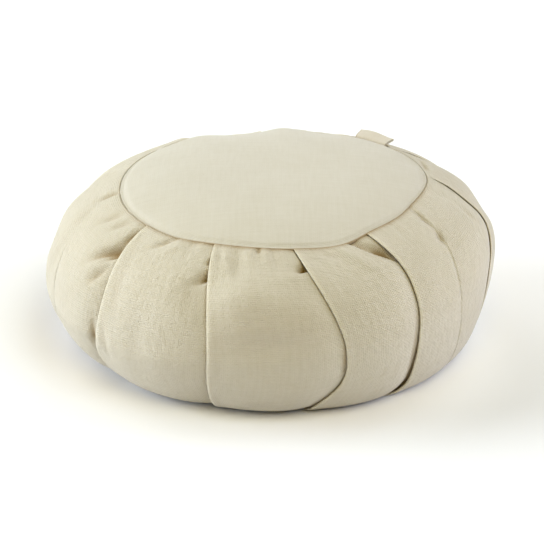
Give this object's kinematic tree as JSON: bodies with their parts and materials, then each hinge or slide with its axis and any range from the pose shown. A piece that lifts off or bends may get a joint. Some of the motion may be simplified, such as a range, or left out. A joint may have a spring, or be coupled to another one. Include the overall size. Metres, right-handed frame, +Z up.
{
  "type": "meditation cushion",
  "caption": "Round stuffed floor cushion: a knife-pleated canvas band between two round panels, crowned on top and flat underneath, with a small blank tab in the top seam.",
  "frame": {"origin": "middle of the flat underside, on the floor", "axes": "+Z up through the crown, -Y towards the front, +X to the right seen from the front"},
  "size_m": [0.3322, 0.3313, 0.1291],
  "materials": {
    "band_canvas": "matte plain-weave cotton canvas, natural",
    "top_canvas": "matte plain-weave cotton canvas, natural",
    "base_canvas": "matte plain-weave cotton canvas, natural",
    "label_tape": "matte woven tape, pale"
  },
  "bodies": {
    "root": {"side_band": "band_canvas", "top_panel": "top_canvas", "bottom_panel": "base_canvas", "label_tab": "label_tape"}
  },
  "joints": []
}
